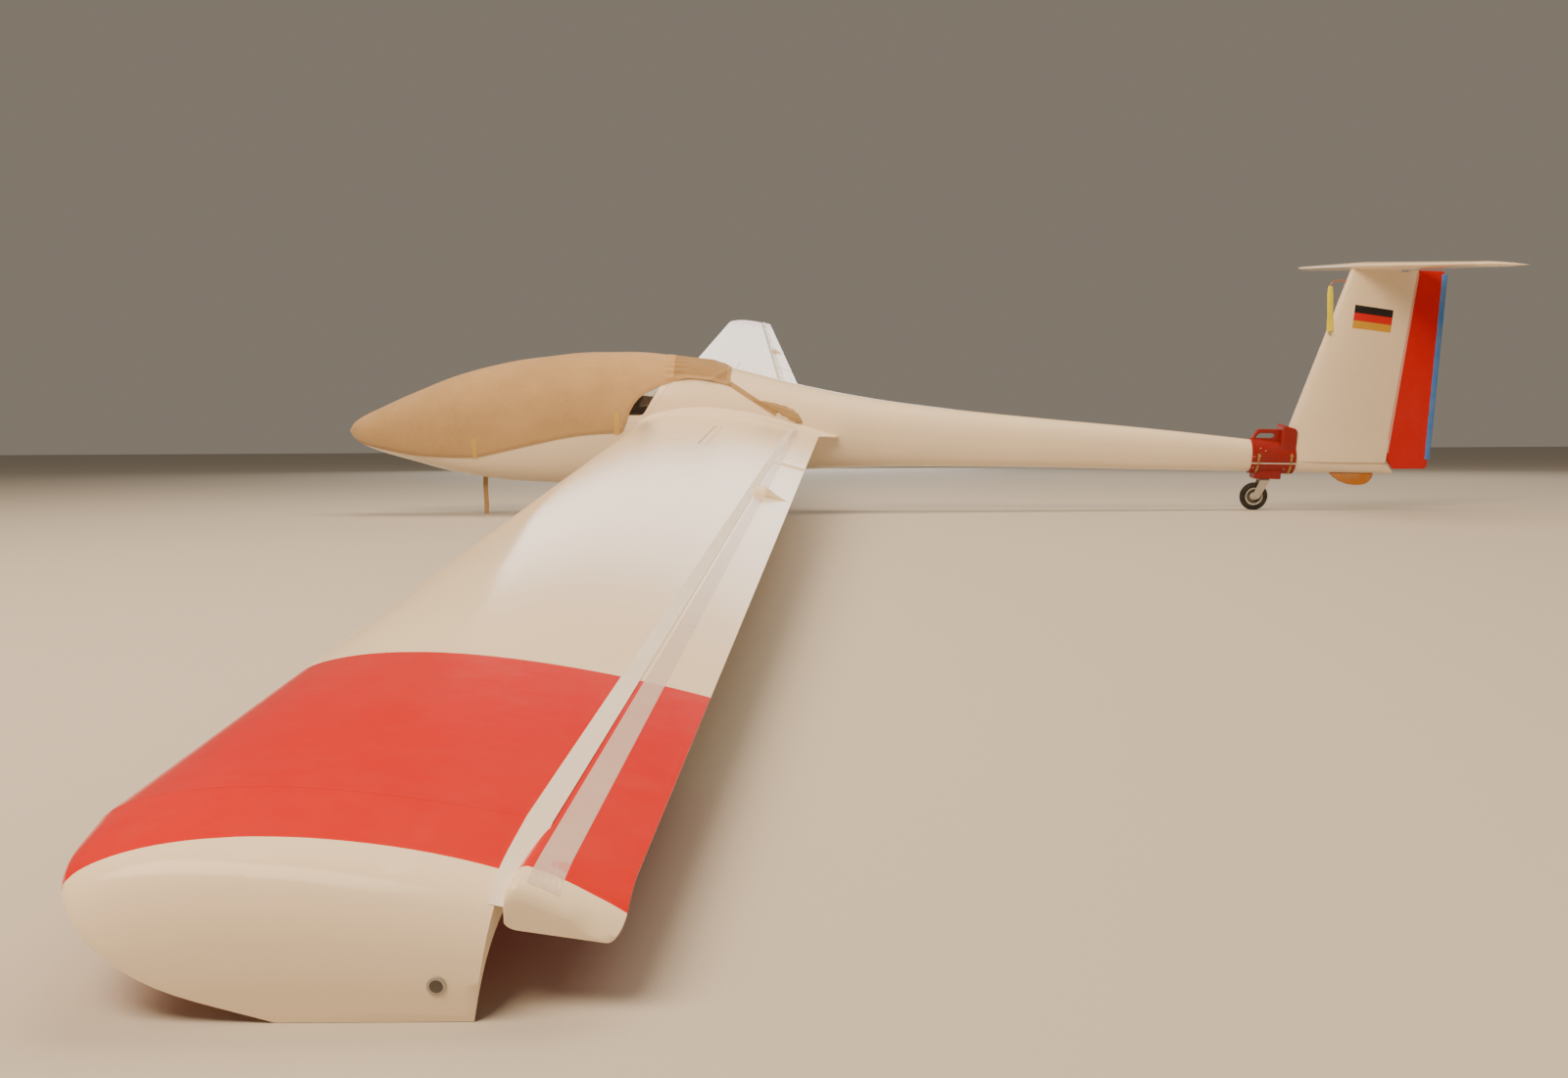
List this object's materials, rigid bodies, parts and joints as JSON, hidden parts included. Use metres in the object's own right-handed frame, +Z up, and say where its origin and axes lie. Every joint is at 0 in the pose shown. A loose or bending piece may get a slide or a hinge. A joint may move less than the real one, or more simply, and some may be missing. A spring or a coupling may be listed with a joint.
{
  "type": "sailplane glider",
  "caption": "Single-seat 15 metre T-tail sailplane parked on its main wheel, a clamp-on tail dolly and its left wing tip, canopy under a fitted cloth cover.",
  "frame": {"origin": "on the floor, below the middle of the whole glider as it parks", "axes": "+X aft from nose to tail, +Y to starboard, +Z up; the glider leans 6.7 degrees to port on its left tip, nose 1.45 degrees up"},
  "size_m": [6.846, 14.901, 1.8684],
  "materials": {
    "gelcoat": "glossy off-white gelcoat",
    "red_paint": "glossy red",
    "guard_blue": "matt blue edge guard",
    "dolly_red": "satin dark red",
    "canvas": "tan cloth",
    "sleeve_yellow": "yellow cloth sleeve",
    "skid_orange": "worn orange",
    "canopy_glass": "clear acrylic",
    "trim_dark": "dark cockpit trim",
    "seat_fabric": "grey cushion cloth",
    "steel": "satin steel",
    "tyre": "black rubber",
    "wheel_pale": "pale grey wheel centre"
  },
  "bodies": {
    "airframe": {"fuselage_pod": "gelcoat", "tail_boom": "gelcoat", "root_fairing_left": "gelcoat", "root_fairing_right": "gelcoat", "wing_left": "gelcoat", "wing_right": "gelcoat", "wing_tip_left": "gelcoat", "wing_tip_right": "gelcoat", "fin": "gelcoat", "tailplane": "gelcoat", "fin_probe": "steel", "probe_cover": "sleeve_yellow", "tail_skid": "skid_orange", "canopy_frame": "gelcoat", "canopy_glass": "canopy_glass", "canopy_cover": "canvas", "belly_strap": "canvas", "aft_strap_left": "canvas", "aft_strap_right": "canvas", "seat_shell": "trim_dark", "headrest": "seat_fabric", "instrument_panel": "trim_dark", "control_stick": "trim_dark", "main_axle": "steel", "gear_fork": "steel", "gear_door_left": "gelcoat", "gear_door_right": "gelcoat", "tow_hook": "steel", "dolly_upper": "dolly_red", "dolly_lower": "dolly_red", "dolly_stem": "steel"},
    "aileron_left": {"aileron_left": "gelcoat"},
    "aileron_right": {"aileron_right": "gelcoat"},
    "flap_left": {"flap_left": "gelcoat"},
    "flap_right": {"flap_right": "gelcoat"},
    "airbrake_left": {"airbrake_left": "gelcoat"},
    "airbrake_right": {"airbrake_right": "gelcoat"},
    "rudder": {"rudder": "red_paint", "rudder_guard": "guard_blue"},
    "elevator": {"elevator": "gelcoat"},
    "main_wheel": {"main_tyre": "tyre", "main_hub": "steel"},
    "dolly_castor": {"dolly_fork": "steel"},
    "dolly_wheel": {"dolly_tyre": "tyre", "dolly_hub": "wheel_pale"}
  },
  "joints": [
    {"name": "aileron_left_hinge", "type": "hinge", "parent": "airframe", "child": "aileron_left", "pos_m": [-0.73834, -3.06693, 0.3415], "axis": [0.0398, 0.9976, 0.0563], "range_deg": [-25, 15]},
    {"name": "aileron_right_hinge", "type": "hinge", "parent": "airframe", "child": "aileron_right", "pos_m": [-0.73834, 3.1106, 1.0672], "axis": [-0.0398, 0.9835, 0.1765], "range_deg": [-25, 15]},
    {"name": "flap_left_hinge", "type": "hinge", "parent": "airframe", "child": "flap_left", "pos_m": [-0.63047, -0.36425, 0.49389], "axis": [0.0398, 0.9976, 0.0562], "range_deg": [-8, 12]},
    {"name": "flap_right_hinge", "type": "hinge", "parent": "airframe", "child": "flap_right", "pos_m": [-0.63047, 0.44618, 0.58909], "axis": [-0.0398, 0.9835, 0.1765], "range_deg": [-8, 12]},
    {"name": "airbrake_left_slide", "type": "slide", "parent": "airframe", "child": "airbrake_left", "axis": [0.0253, -0.1166, 0.9929], "range_m": [0, 0.08]},
    {"name": "airbrake_right_slide", "type": "slide", "parent": "airframe", "child": "airbrake_right", "axis": [0.0253, -0.1166, 0.9929], "range_m": [0, 0.08]},
    {"name": "rudder_hinge", "type": "hinge", "parent": "airframe", "child": "rudder", "pos_m": [3.11678, 0.07258, 0.27234], "axis": [0.1001, -0.1161, 0.9882], "range_deg": [-30, 30]},
    {"name": "elevator_hinge", "type": "hinge", "parent": "airframe", "child": "elevator", "pos_m": [3.1642, -0.07223, 1.50506], "axis": [0, 0.9932, 0.1167], "range_deg": [-25, 20]},
    {"name": "main_wheel_spin", "type": "hinge", "parent": "airframe", "child": "main_wheel", "pos_m": [-1.43309, 0.08368, 0.17791], "axis": [0, 0.9932, 0.1167], "continuous": true},
    {"name": "dolly_castor_swivel", "type": "hinge", "parent": "airframe", "child": "dolly_castor", "pos_m": [2.36547, 0.0867, 0.15214], "axis": [0.0253, -0.1166, 0.9929], "continuous": true},
    {"name": "dolly_wheel_spin", "type": "hinge", "parent": "dolly_castor", "child": "dolly_wheel", "pos_m": [2.30378, 0.0944, 0.08665], "axis": [0, 0.9932, 0.1167], "continuous": true}
  ]
}
